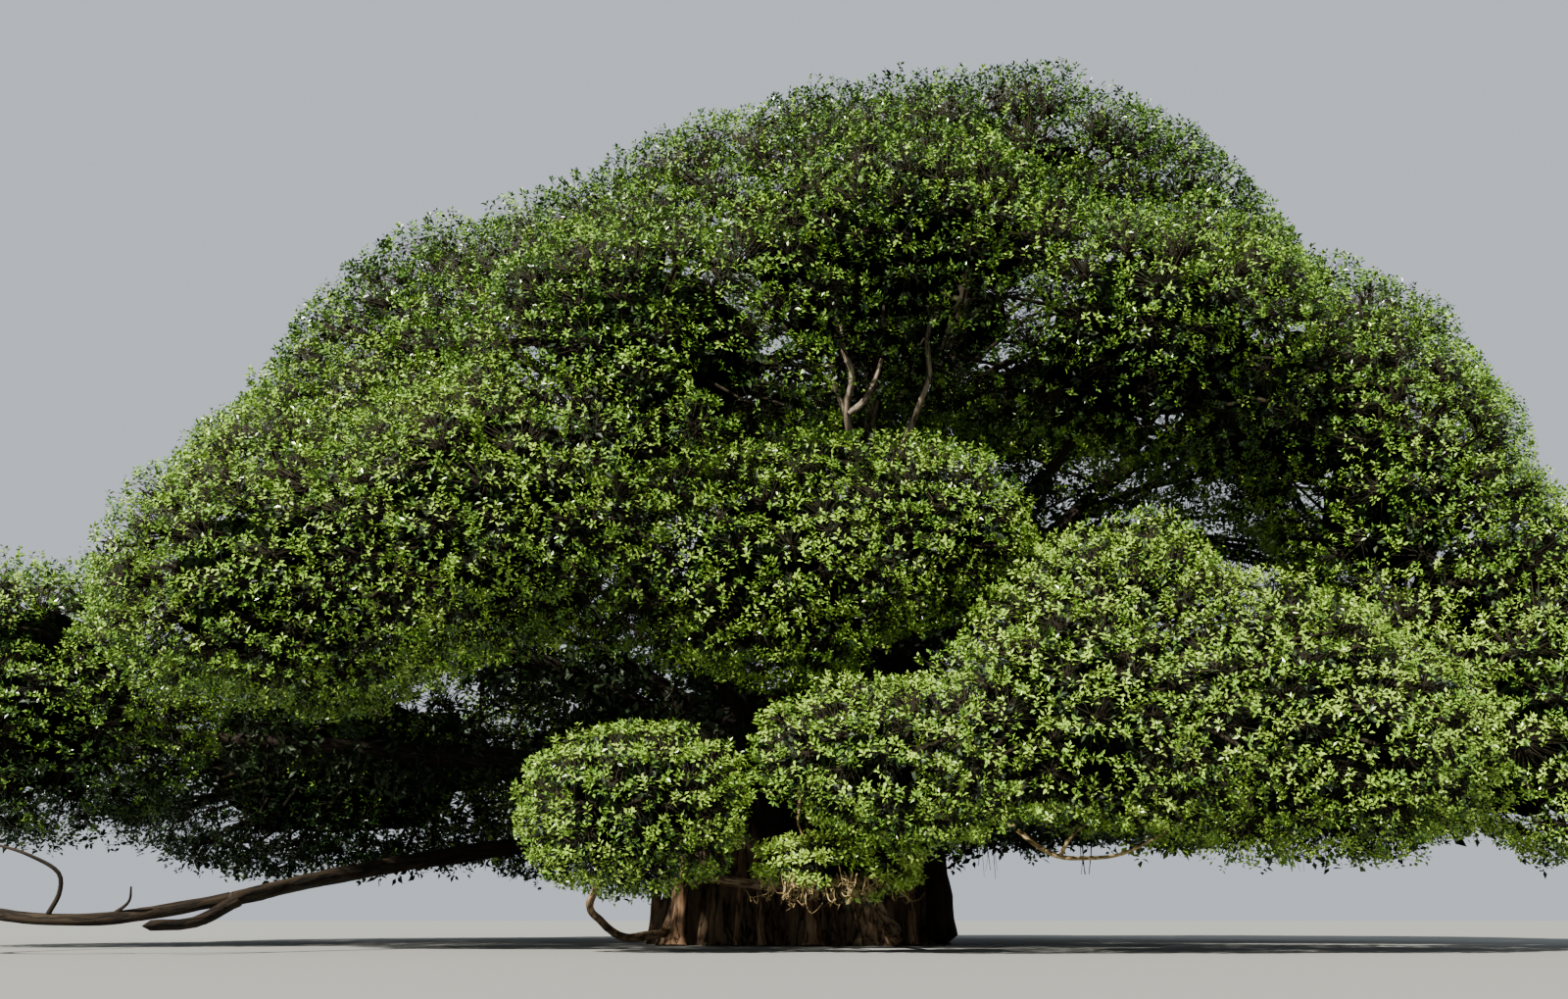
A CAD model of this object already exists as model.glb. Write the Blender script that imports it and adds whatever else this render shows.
# An old spreading fig: a wide dome of dark glossy leaves over a trunk of fused hanging roots.
# Metres, +Z up, +Y away from the viewer. The origin is the middle of the flat cut at the ground.

import math
import time

import bpy
import numpy as np
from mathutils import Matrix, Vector


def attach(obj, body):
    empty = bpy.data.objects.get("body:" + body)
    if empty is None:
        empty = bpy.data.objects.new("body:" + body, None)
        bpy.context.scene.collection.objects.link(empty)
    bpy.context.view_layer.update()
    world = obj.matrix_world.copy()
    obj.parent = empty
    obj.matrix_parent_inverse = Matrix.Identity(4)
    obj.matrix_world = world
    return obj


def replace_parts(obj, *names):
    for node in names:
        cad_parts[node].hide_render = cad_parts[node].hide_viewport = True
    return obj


started = time.time()
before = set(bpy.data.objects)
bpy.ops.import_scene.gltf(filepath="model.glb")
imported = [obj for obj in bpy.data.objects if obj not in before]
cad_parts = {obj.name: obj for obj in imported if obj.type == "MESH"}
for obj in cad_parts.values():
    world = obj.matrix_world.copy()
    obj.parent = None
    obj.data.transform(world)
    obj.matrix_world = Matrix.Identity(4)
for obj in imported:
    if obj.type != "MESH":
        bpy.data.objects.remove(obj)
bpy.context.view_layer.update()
random = np.random.default_rng(31)
goldenTurn = math.pi * (3 - math.sqrt(5))
up = np.array([0.0, 0.0, 1.0])


# A line for each stage, with the seconds since the start.
def report(words):
    print(f"{time.time() - started:6.1f} s  {words}")


# The tree's own sizes.

trunk = {
    "halfWidth": 3.2, "halfDepth": 2.65, "squareness": 2.7,
    "forkHeight": 5.0, "crownHeight": 0.9,
    "taper": 0.24, "taperBend": 1.4,
    "flare": 0.22, "flareHeight": 0.7,
    "ribs": 12, "ribDrift": 0.8, "ribDepth": 0.2,
    "lean": (0.35, 0.1),
}

heart = np.array([0.5, -1.0, 5.0])
fullness = 1.1
browseLine = 1.15  # the foliage hangs down to this height
cellMargin = 0.02  # half the space kept between two masses

# A mass of foliage: the middle of its space, how far it reaches along X, Y and Z, and how low it hangs.
lobes = {
    "crown_top": ((4.65, -3.2, 17.0), (4.7, 5.0, 2.9)),
    "top_left": ((0.5, -4.8, 14.95), (4.3, 4.8, 3.05)),
    "top_right": ((9.45, -1.0, 15.55), (2.55, 4.4, 3.2)),
    "upper_left": ((-3.6, -3.6, 13.75), (5.2, 4.8, 3.25)),
    "upper_far_left": ((-8.75, -1.4, 12.5), (3.5, 4.8, 3.85)),
    "left_shoulder": ((-10.1, -5.2, 8.6), (3.05, 4.6, 3.05)),
    "left_slope": ((-9.9, -9.5, 6.6), (3.3, 3.6, 2.25)),
    "far_left": ((-16.85, -4.0, 4.95), (3.65, 4.6, 3.35), 1.9),
    "left_front": ((-5.9, -10.4, 7.6), (3.5, 3.6, 2.3)),
    "front_upper_left": ((-3.0, -9.2, 11.3), (3.5, 3.9, 2.5)),
    "front_upper": ((1.9, -8.9, 13.6), (2.9, 3.6, 1.9)),
    "right_upper": ((7.2, -8.0, 12.1), (3.6, 4.0, 2.4)),
    "right_high": ((11.6, -3.0, 12.1), (4.5, 4.4, 2.75)),
    "mid_front": ((-0.6, -9.2, 7.2), (3.0, 3.0, 2.3)),
    "mid_right": ((2.8, -9.6, 7.8), (1.8, 2.3, 1.7)),
    "right_mid": ((6.1, -10.0, 6.6), (1.6, 2.0, 1.3)),
    "right_far": ((12.35, -7.2, 8.9), (2.35, 3.4, 2.55)),
    "far_right": ((16.1, -3.2, 7.1), (3.5, 4.6, 2.6)),
    "right_low_a": ((4.8, -11.4, 3.8), (2.6, 3.0, 2.4), 1.7),
    "right_low_b": ((9.1, -11.2, 3.7), (2.8, 3.0, 2.3), 1.4),
    "far_right_low": ((15.35, -7.6, 3.95), (4.15, 3.8, 3.1), 1.5),
    "low_left": ((-2.95, -10.9, 2.4), (2.3, 2.7, 1.65), 0.85),
    "low_centre": ((1.1, -12.0, 3.1), (2.1, 2.1, 1.4)),
    "low_front": ((0.65, -10.6, 1.5), (1.75, 1.5, 0.95), 0.75),
}


# A tier of masses behind the trunk, each the same distance out at its own bearing.
def tierBehind(name, bearings, out, height, reach, lowest=(browseLine,) * 4):
    for place, degrees in enumerate(bearings):
        bearing = math.radians(degrees)
        at = (out * math.cos(bearing), out * math.sin(bearing), height)
        lobes[f"{name}_{place + 1}"] = (at, reach, lowest[place])


tierBehind("skirt_back", (22, 67, 112, 158), 13.6, 4.7, (5.4, 5.2, 3.9), (2.3, 2.3, 1.35, 1.35))
tierBehind("belt_back", (30, 92, 155), 9.9, 9.7, (5.3, 5.0, 2.9))
tierBehind("shoulder_back", (12, 112), 7.0, 13.4, (4.6, 4.4, 2.6))
lobes["top_back"] = ((3.4, 3.4, 16.4), (4.3, 3.8, 2.6))

# A bough: the height it leaves the trunk at, how deep inside it starts, the angle it rises at, its
# turn aside, its girth at both ends, and the masses that it carries.
boughs = {
    "bough_top": (5.2, 0.9, 78, 0, (0.44, 0.2), ("crown_top",)),
    "bough_top_left": (5.2, 1.2, 78, 0, (0.4, 0.17), ("top_left",)),
    "bough_top_right": (4.9, 0.6, 62, 0, (0.42, 0.19), ("top_right", "right_high")),
    "bough_upper_left": (4.9, 0.6, 62, 0, (0.42, 0.19), ("upper_left", "upper_far_left")),
    "bough_left": (3.7, 0.6, 42, 0, (0.38, 0.17), ("left_shoulder", "left_slope")),
    "bough_far_left": (3.0, 0.6, 22, -14, (0.36, 0.15), ("far_left",)),
    "bough_left_front": (3.9, 0.6, 48, 0, (0.36, 0.17), ("left_front", "front_upper_left")),
    "bough_mid_front": (3.7, 0.6, 40, -6, (0.33, 0.15), ("mid_front", "mid_right")),
    "bough_front_upper": (5.0, 0.6, 60, 6, (0.32, 0.13), ("front_upper",)),
    "bough_right_upper": (4.6, 0.6, 55, 0, (0.38, 0.16), ("right_upper",)),
    "bough_right_far": (3.8, 0.6, 36, 0, (0.4, 0.18), ("right_far", "far_right")),
    "bough_right_low": (2.5, 0.6, 10, 0, (0.33, 0.17), ("right_low_a", "right_low_b", "right_mid")),
    "bough_far_right_low": (2.4, 0.6, 14, 4, (0.33, 0.15), ("far_right_low",)),
    "bough_back_low_right": (3.2, 0.6, 26, 0, (0.4, 0.2), ("skirt_back_1", "skirt_back_2")),
    "bough_back_low_left": (3.2, 0.6, 26, 0, (0.4, 0.2), ("skirt_back_3", "skirt_back_4")),
    "bough_back_mid_right": (4.6, 0.6, 44, 0, (0.36, 0.18), ("belt_back_1", "belt_back_2")),
    "bough_back_mid_left": (4.6, 0.6, 44, 0, (0.34, 0.16), ("belt_back_3",)),
    "bough_back_top": (5.2, 1.0, 76, 0, (0.42, 0.2), ("top_back", "shoulder_back_1", "shoulder_back_2")),
}

# The low limbs are led through points of their own: girth, points, masses at the end, and whether
# they only visit a mass that another limb carries.
lowLimbs = {
    "low_left_limb": (
        (0.22, 0.12),
        ((-2.3, -0.9, 2.75), (-5.4, -2.5, 2.22), (-8.0, -6.5, 1.6), (-9.15, -9.0, 1.17),
         (-9.75, -10.8, 0.88)),
        (), False,
    ),
    "low_left_arm": (
        (0.11, 0.07),
        ((-9.65, -10.5, 0.92), (-11.5, -11.7, 0.56), (-12.9, -12.0, 0.6), (-14.2, -11.4, 0.9)),
        ("far_left",), True,
    ),
    "low_left_stub": (
        (0.11, 0.08),
        ((-9.62, -10.4, 0.9), (-10.0, -11.8, 0.53), (-10.5, -12.7, 0.45)),
        (), False,
    ),
    "low_left_bough": (
        (0.1, 0.06),
        ((-2.7, -1.6, 0.3), (-3.3, -3.3, 0.2), (-3.6, -4.7, 0.2), (-3.85, -6.4, 0.52), (-3.92, -7.8, 0.82)),
        ("low_left",), False,
    ),
    "low_front_bough": (
        (0.15, 0.1),
        ((2.1, -1.9, 0.25), (1.95, -3.5, 0.45), (1.6, -4.6, 0.9)),
        ("low_front", "low_centre"), False,
    ),
    "low_cross_bough": (
        (0.12, 0.06),
        ((-2.2, -1.9, 1.3), (-2.0, -3.2, 1.42), (-1.1, -3.6, 1.3), (-0.3, -4.6, 1.2)),
        ("low_front",), True,
    ),
    "right_root": (
        (0.34, 0.2),
        ((3.2, -2.35, 0.0), (3.15, -2.2, 1.0), (3.1, -2.0, 1.9), (3.1, -1.75, 2.6)),
        (), False,
    ),
}
forkDepth = 1.2
entrySteps = 80


# Small tools.

# Vectors divided by their lengths.
def unit(vectors):
    return vectors / np.maximum(np.linalg.norm(vectors, axis=-1, keepdims=True), 1e-9)


# Two directions square to each given one: the first is its cross product with a line it doesn't follow.
def squareTo(ways):
    aside = np.where(np.abs(ways[..., 2:3]) > 0.9, np.array([1.0, 0.0, 0.0]), up)
    first = unit(np.cross(ways, aside))
    return first, np.cross(ways, first)


# Smooth noise from -1 to 1: each corner of a unit grid has a hashed value, and these are blended
# with the weights 3f² - 2f³.
def smoothNoise(points, seed):
    cell = np.floor(points).astype(np.int64)
    part = points - cell
    part = part * part * (3 - 2 * part)
    total = np.zeros(points.shape[:-1])
    for corner in range(8):
        step = np.array([corner & 1, corner >> 1 & 1, corner >> 2 & 1])
        at = cell + step
        mixed = at[..., 0] * 73856093 ^ at[..., 1] * 19349663 ^ at[..., 2] * 83492791 ^ seed * 7919
        mixed = (mixed ^ mixed >> 13) * 1274126177 & 0x7FFFFFFF
        mixed = (mixed ^ mixed >> 15) * 668265263 & 0x7FFFFFFF
        value = (mixed % 65536) / 32767.5 - 1
        total += value * np.prod(np.where(step == 1, part, 1 - part), axis=-1)
    return total


# Directions round a ring, in equal steps.
def ringAngles(count):
    return np.arange(count) * 2 * math.pi / count


# Quads between neighbouring rings of a grid of point numbers, each ring closed.
def ringQuads(index):
    beside = np.roll(index, -1, axis=-1)
    low, high = index[..., :-1, :], index[..., 1:, :]
    return np.stack([low, beside[..., :-1, :], beside[..., 1:, :], high], -1).reshape(-1, 4)


# A mesh of faces that all have the same number of corners. The grain way is kept with each point.
def newMesh(name, points, faces, material, smooth=True, way=None):
    mesh = bpy.data.meshes.new(name)
    faces = np.asarray(faces)
    count, corners = faces.shape
    mesh.vertices.add(len(points))
    mesh.vertices.foreach_set("co", np.asarray(points, np.float32).ravel())
    mesh.loops.add(count * corners)
    mesh.loops.foreach_set("vertex_index", faces.astype(np.int32).ravel())
    mesh.polygons.add(count)
    mesh.polygons.foreach_set("loop_start", np.arange(0, count * corners, corners, dtype=np.int32))
    mesh.polygons.foreach_set("use_smooth", np.full(count, smooth))
    if way is not None:
        attribute = mesh.attributes.new("grainWay", "FLOAT_VECTOR", "POINT")
        attribute.data.foreach_set("vector", np.asarray(way, np.float32).ravel())
    mesh.update(calc_edges=True)
    mesh.validate()
    mesh.materials.append(material)
    made = bpy.data.objects.new(name, mesh)
    bpy.context.scene.collection.objects.link(made)
    return made


# A piece of the tree. Its shape is points, faces and, for bark, the grain way of each point.
def treePiece(name, shape, material, smooth=True):
    piece = newMesh(name, *shape[:2], material, smooth, *shape[2:])
    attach(piece, "root")
    report(f"{name}: {len(shape[1]) * (np.shape(shape[1])[1] - 2)} triangles")
    return piece


# The spaces of the masses.

massNames = list(lobes)
massIndex = {name: place for place, name in enumerate(massNames)}
lobeAt = np.array([lobes[name][0] for name in massNames], float)
lobeReach = np.array([lobes[name][1] for name in massNames], float)
massLow = np.array([lobes[name][2] if len(lobes[name]) > 2 else browseLine for name in massNames])
# Pressed together: each oval is grown about its point that lies furthest out from the heart.
massAt = lobeAt - (fullness - 1) * lobeReach * unit(lobeAt - heart)
massReach = lobeReach * fullness


# The multiple of a direction that ends on an oval.
def ovalReach(reach, way):
    return 1 / np.maximum(np.linalg.norm(way / reach, axis=-1), 1e-9)


# The wall between two masses touches both ovals, grown by the same share, where they meet.
def wallsBetween():
    apart = massAt[None] - massAt[:, None]
    mine = ovalReach(massReach[:, None], apart)
    theirs = ovalReach(massReach[None], apart)
    normal = unit(apart * (massReach[:, None] ** -2 + massReach[None] ** -2))
    distance = (apart * (mine / (mine + theirs))[..., None] * normal).sum(-1) - cellMargin
    np.fill_diagonal(distance, 1e6)
    return normal, distance


wallNormal, wallFar = wallsBetween()


# How far a mass's space runs from its middle: to its oval, a wall or its lowest level, whichever is
# first. A plane at distance d is met at d / (the share of the way that leads towards it).
def reachOf(mass, way):
    towards = way @ wallNormal[mass].T
    walled = np.where(towards > 1e-6, wallFar[mass] / np.maximum(towards, 1e-6), 1e6).min(axis=-1)
    oval = ovalReach(massReach[mass], way)
    drop = massAt[mass][2] - massLow[mass]
    down = np.where(way[..., 2] < 0, drop / np.maximum(-way[..., 2], 1e-6), 1e6)
    return np.minimum(np.minimum(oval, walled), down)


# Trunk and limbs as lines.

# Radius of a squarish oval, less its taper, plus upright ribs and the spread at the foot.
def trunkRadius(angle, height):
    rise = np.clip(height / trunk["forkHeight"], 0, 1)
    across = np.abs(np.cos(angle) / trunk["halfWidth"]) ** trunk["squareness"]
    along = np.abs(np.sin(angle) / trunk["halfDepth"]) ** trunk["squareness"]
    oval = (across + along) ** (-1 / trunk["squareness"])
    rib = np.abs(np.cos(trunk["ribs"] / 2 * angle + trunk["ribDrift"] * np.sin(angle)))
    foot = trunk["flare"] * np.exp(-height / trunk["flareHeight"])
    tapered = oval * (1 - trunk["taper"] * rise ** trunk["taperBend"])
    return tapered + (trunk["ribDepth"] + foot) * rib - trunk["ribDepth"]


# The trunk's axis leans by the square of the height.
def trunkCentre(height):
    rise = np.asarray(height, float) / trunk["forkHeight"]
    aside, behind = trunk["lean"]
    return np.stack([aside * rise ** 2, behind * rise ** 2, rise * trunk["forkHeight"]], -1)


# The mean of the middles of some masses.
def middleOf(names):
    return np.mean([massAt[massIndex[name]] for name in names], axis=0)


# The point on the way to the middle of some masses where the first one's oval begins.
def entryPoint(names, start):
    middle = middleOf(names)
    steps = start + (middle - start) * np.linspace(0, 1, entrySteps + 1)[1:, None]
    inside = np.linalg.norm(steps - middle, axis=1) < forkDepth
    for name in names:
        place = massIndex[name]
        inside |= np.linalg.norm((steps - massAt[place]) / massReach[place], axis=1) < 1
    first = int(np.argmax(inside))
    return steps[first - 1] if first > 0 else start


# Points in equal steps along a line.
def resampled(points, count):
    run = np.concatenate([[0], np.cumsum(np.linalg.norm(np.diff(points, axis=0), axis=1))])
    wanted = np.linspace(0, 1, count) * run[-1]
    return np.stack([np.interp(wanted, run, points[:, axis]) for axis in range(3)], -1)


# A curve from the trunk: it leaves at its launch angle and comes in line with its masses. With the
# corner points a, b, c, d it is (1-t)³ a + 3 (1-t)² t b + 3 (1-t) t² c + t³ d.
def boughLine(height, inset, launch, turn, carries):
    centre = trunkCentre(height)
    goal = middleOf(carries)
    bearing = math.atan2(goal[1] - centre[1], goal[0] - centre[0]) + math.radians(turn)
    outward = np.array([math.cos(bearing), math.sin(bearing), 0])
    start = centre + outward * (trunkRadius(bearing, height) - inset)
    end = entryPoint(carries, start)
    length = np.linalg.norm(end - start)
    rising = math.radians(launch)
    first = start + 0.35 * length * (outward * math.cos(rising) + up * math.sin(rising))
    arriving = unit(unit(goal - start) + unit(end - first))
    last = end - 0.3 * length * arriving
    t = np.linspace(0, 1, 200)[:, None]
    return (1 - t) ** 3 * start + 3 * (1 - t) ** 2 * t * first + 3 * (1 - t) * t ** 2 * last + t ** 3 * end


# A smooth line through points, where each stretch counts for the square root of its length.
def lineThrough(points):
    points = np.array(points, float)
    ends = np.vstack([2 * points[0] - points[1], points, 2 * points[-1] - points[-2]])
    gaps = np.sqrt(np.linalg.norm(np.diff(ends, axis=0), axis=1))
    made = []
    for i in range(1, len(ends) - 2):
        a, b, c = gaps[i - 1], gaps[i], gaps[i + 1]
        p0, p1, p2, p3 = ends[i - 1:i + 3]
        leave = ((p1 - p0) / a - (p2 - p0) / (a + b) + (p2 - p1) / b) * b
        arrive = ((p2 - p1) / b - (p3 - p1) / (b + c) + (p3 - p2) / c) * b
        t = np.linspace(0, 1, 60)[:, None]
        made.append(p1 * (2 * t ** 3 - 3 * t ** 2 + 1) + leave * (t ** 3 - 2 * t ** 2 + t)
                    + p2 * (3 * t ** 2 - 2 * t ** 3) + arrive * (t ** 3 - t ** 2))
    return np.vstack(made)


limbLines, limbGirths, stemStart = {}, {}, {}


# A limb, and where the stems of the masses that it carries start: its tip, its girth there and its heading.
def addLimb(name, line, girth, carries):
    limbLines[name], limbGirths[name] = line, girth
    for carried in carries:
        stemStart[carried] = (line[-1], girth[1], unit(line[-1] - line[-12]))


for name, (height, inset, launch, turn, girth, carries) in boughs.items():
    addLimb(name, boughLine(height, inset, launch, turn, carries), girth, carries)
for name, (girth, through, carries, visits) in lowLimbs.items():
    points = [np.array(point) for point in through]
    if carries:
        points.append(entryPoint(carries, points[-1]))
    addLimb(name, lineThrough(points), girth, () if visits else carries)
report(f"{len(limbLines)} limbs laid out")


# A round profile carried along lines. lines is (lines, steps, 3) and radius (lines, steps). Each ring is
# line point + radius x relief x (cos a x across + sin a x over). Returns points, quads and grain way.
def carriedProfile(lines, radius, sides, relief=None):
    count, steps = lines.shape[:2]
    along = unit(np.gradient(lines, axis=1))
    chord = lines - lines.mean(axis=1, keepdims=True)
    flat = np.linalg.svd(chord.transpose(0, 2, 1) @ chord)[0][:, :, 2]
    across = unit(np.cross(along, np.cross(flat[:, None], along)))
    over = np.cross(along, across)
    angle = ringAngles(sides)
    ring = radius[..., None] if relief is None else radius[..., None] * relief
    points = lines[:, :, None] + ring[..., None] * (
        np.cos(angle)[:, None] * across[:, :, None] + np.sin(angle)[:, None] * over[:, :, None])
    run = np.cumsum(np.linalg.norm(np.diff(lines, axis=1, prepend=lines[:, :1]), axis=2), axis=1)
    mean = np.maximum(radius, 0.02)[..., None]
    grain = np.stack([np.broadcast_to(np.cos(angle) * mean, points.shape[:3]),
                      np.broadcast_to(np.sin(angle) * mean, points.shape[:3]),
                      np.broadcast_to(run[..., None], points.shape[:3])], -1)
    quads = ringQuads(np.arange(count * steps * sides).reshape(count, steps, sides))
    return points.reshape(-1, 3), quads, grain.reshape(-1, 3)


# Several groups of points, faces and grain ways joined to one.
def joined(groups):
    starts = np.cumsum([0] + [len(points) for points, _, _ in groups[:-1]])
    points = np.vstack([points for points, _, _ in groups])
    faces = np.vstack([faces + start for (_, faces, _), start in zip(groups, starts)])
    grain = np.vstack([grain for _, _, grain in groups])
    return points, faces, grain


# Materials.

# A node with its settings and values. A value that is another node's output is linked.
def addNode(tree, kind, values, **settings):
    made = tree.nodes.new(kind)
    for setting, value in settings.items():
        setattr(made, setting, value)
    for socket, value in values.items():
        if isinstance(value, bpy.types.NodeSocket):
            tree.links.new(value, made.inputs[socket])
        else:
            made.inputs[socket].default_value = value
    return made


# A ramp from 0 at low to 1 at high.
def addRamp(tree, value, low, high):
    return addNode(tree, "ShaderNodeMapRange", {"Value": value, "From Min": low, "From Max": high}).outputs[0]


# A group of nodes with its inputs (label: value, or None for a vector) and outputs.
def newGroup(name, inputs, outputs):
    group = bpy.data.node_groups.new(name, "ShaderNodeTree")
    for label, value in inputs.items():
        kind = "NodeSocketVector" if value is None else "NodeSocketFloat"
        socket = group.interface.new_socket(name=label, in_out="INPUT", socket_type=kind)
        if value is not None:
            socket.default_value = value
    for label in outputs:
        group.interface.new_socket(name=label, in_out="OUTPUT", socket_type="NodeSocketFloat")
    return group, group.nodes.new("NodeGroupInput").outputs


# A material with its tree and its shader.
def newMaterial(name):
    material = bpy.data.materials.new(name)
    material.use_nodes = True
    return material, material.node_tree, material.node_tree.nodes["Principled BSDF"]


# Effects shared by the barks: long grain with cracks, from the piece's own grain way. A crack lies
# where noise is close to its middle, and height = streak / 2 + 0.3 fine + crack x its depth.
def barkGroup():
    inputs = {"Vector": None, "Grain Size": 1.0, "Crack Depth": 0.5}
    group, entry = newGroup("barkGrain", inputs, ("Streak", "Crack", "Patch", "Height"))
    size = {0: entry["Vector"], "Scale": entry["Grain Size"]}
    scaled = addNode(group, "ShaderNodeVectorMath", size, operation="SCALE").outputs[0]

    # Noise that is drawn out along the grain by 1 / stretch.
    def noise(stretch, scale, detail, rough):
        mapping = addNode(group, "ShaderNodeMapping", {"Scale": (1, 1, stretch), "Vector": scaled})
        values = {"Vector": mapping.outputs[0], "Scale": scale, "Detail": detail, "Roughness": rough}
        return addNode(group, "ShaderNodeTexNoise", values).outputs["Fac"]

    # A sum, difference, product or magnitude.
    def mathNode(kind, first, second):
        return addNode(group, "ShaderNodeMath", {0: first, 1: second}, operation=kind).outputs[0]

    streak = addRamp(group, noise(0.16, 7.0, 8.0, 0.62), 0.3, 0.7)
    fine = noise(0.35, 26.0, 6.0, 0.7)
    patch = addRamp(group, noise(0.6, 1.1, 4.0, 0.55), 0.36, 0.64)
    ridge = mathNode("ABSOLUTE", mathNode("SUBTRACT", noise(0.12, 4.5, 5.0, 0.5), 0.5), 0.0)
    crack = addRamp(group, ridge, 0.0, 0.05)
    height = mathNode("ADD", mathNode("MULTIPLY", streak, 0.5), mathNode("MULTIPLY", fine, 0.3))
    height = mathNode("ADD", height, mathNode("MULTIPLY", crack, entry["Crack Depth"]))
    addNode(group, "NodeGroupOutput", {"Streak": streak, "Crack": crack, "Patch": patch, "Height": height})
    return group


barkGrain = barkGroup()


# Bark blends its dark and pale colours by streak, brown and lichen by patch, and darkens in cracks.
# Where a bark has a shade height, it darkens above it by a ramp of the point's own height.
def barkMaterial(name, look):
    material, tree, shader = newMaterial(name)
    way = addNode(tree, "ShaderNodeAttribute", {}, attribute_name="grainWay").outputs["Vector"]
    values = {"Vector": way, "Grain Size": look["grain"], "Crack Depth": look["crack"]}
    grain = addNode(tree, "ShaderNodeGroup", values, node_tree=barkGrain).outputs

    # The first colour where the factor is 0, the second where it is 1.
    def blend(factor, first, second):
        colours = [(*colour, 1) if isinstance(colour, tuple) else colour for colour in (first, second)]
        values = {"Factor": factor, 6: colours[0], 7: colours[1]}
        return addNode(tree, "ShaderNodeMix", values, data_type="RGBA").outputs[2]

    body = blend(grain["Streak"], look["dark"], look["pale"])
    body = blend(grain["Patch"], body, blend(grain["Streak"], look["brown"], look["lichen"]))
    body = blend(grain["Crack"], look["crackColour"], body)
    if "shade" in look:
        place = tree.nodes.new("ShaderNodeTexCoord").outputs["Object"]
        level = addNode(tree, "ShaderNodeSeparateXYZ", {0: place}).outputs["Z"]
        body = blend(addRamp(tree, level, *look["shade"]), body, look["crackColour"])
    values = {"Value": grain["Streak"], "To Min": 0.95, "To Max": 0.72}
    rough = addNode(tree, "ShaderNodeMapRange", values).outputs[0]
    values = {"Strength": look["bump"], "Distance": look["relief"], "Height": grain["Height"]}
    bump = addNode(tree, "ShaderNodeBump", values).outputs[0]
    shader.inputs["Specular IOR Level"].default_value = 0.15
    for label, value in {"Base Color": body, "Roughness": rough, "Normal": bump}.items():
        tree.links.new(value, shader.inputs[label])
    return material


barks = {
    "trunkBark": {
        "grain": 1.0, "crack": 0.6, "bump": 0.9, "relief": 0.06, "shade": (1.4, 2.5),
        "dark": (0.020, 0.012, 0.007), "pale": (0.150, 0.098, 0.055), "brown": (0.062, 0.035, 0.018),
        "lichen": (0.19, 0.135, 0.08), "crackColour": (0.007, 0.004, 0.003),
    },
    "footBark": {
        "grain": 1.4, "crack": 0.5, "bump": 0.8, "relief": 0.04, "shade": (1.2, 2.6),
        "dark": (0.055, 0.028, 0.014), "pale": (0.30, 0.175, 0.095), "brown": (0.13, 0.065, 0.032),
        "lichen": (0.34, 0.23, 0.135), "crackColour": (0.02, 0.01, 0.005),
    },
    "boughBark": {
        "grain": 1.6, "crack": 0.4, "bump": 0.7, "relief": 0.03,
        "dark": (0.007, 0.005, 0.004), "pale": (0.026, 0.019, 0.013), "brown": (0.013, 0.009, 0.006),
        "lichen": (0.03, 0.024, 0.016), "crackColour": (0.004, 0.003, 0.002),
    },
    "frontBark": {
        "grain": 1.8, "crack": 0.5, "bump": 0.8, "relief": 0.03,
        "dark": (0.06, 0.046, 0.031), "pale": (0.27, 0.22, 0.155), "brown": (0.13, 0.10, 0.066),
        "lichen": (0.31, 0.265, 0.20), "crackColour": (0.016, 0.011, 0.007),
    },
    "lowBark": {
        "grain": 1.6, "crack": 0.4, "bump": 0.7, "relief": 0.03,
        "dark": (0.005, 0.003, 0.002), "pale": (0.022, 0.014, 0.007), "brown": (0.011, 0.007, 0.004),
        "lichen": (0.028, 0.020, 0.011), "crackColour": (0.003, 0.002, 0.001),
    },
    "brownBark": {
        "grain": 2.2, "crack": 0.5, "bump": 0.9, "relief": 0.03,
        "dark": (0.07, 0.042, 0.022), "pale": (0.38, 0.255, 0.14), "brown": (0.17, 0.10, 0.052),
        "lichen": (0.44, 0.32, 0.19), "crackColour": (0.02, 0.012, 0.007),
    },
    "rootBark": {
        "grain": 2.6, "crack": 0.3, "bump": 0.5, "relief": 0.02,
        "dark": (0.12, 0.085, 0.034), "pale": (0.42, 0.31, 0.135), "brown": (0.22, 0.152, 0.062),
        "lichen": (0.42, 0.33, 0.16), "crackColour": (0.04, 0.027, 0.013),
    },
    "twigBark": {
        "grain": 4.0, "crack": 0.3, "bump": 0.4, "relief": 0.01,
        "dark": (0.006, 0.005, 0.002), "pale": (0.024, 0.019, 0.009), "brown": (0.013, 0.009, 0.004),
        "lichen": (0.024, 0.021, 0.010), "crackColour": (0.004, 0.003, 0.001),
    },
}
barkMaterials = {name: barkMaterial(name, look) for name, look in barks.items()}


# A leaf's waxy face: a slow noise makes some sprays glossier than others.
def leafGroup():
    group, entry = newGroup("leafWax", {"Vector": None, "Glossy": 0.3, "Dull": 0.5}, ("Roughness",))
    values = {"Vector": entry["Vector"], "Scale": 3.0, "Detail": 3.0}
    noise = addNode(group, "ShaderNodeTexNoise", values).outputs["Fac"]
    values = {"Value": noise, "From Min": 0.35, "From Max": 0.65,
              "To Min": entry["Glossy"], "To Max": entry["Dull"]}
    spread = addNode(group, "ShaderNodeMapRange", values).outputs[0]
    addNode(group, "NodeGroupOutput", {"Roughness": spread})
    return group


leafWax = leafGroup()


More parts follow.
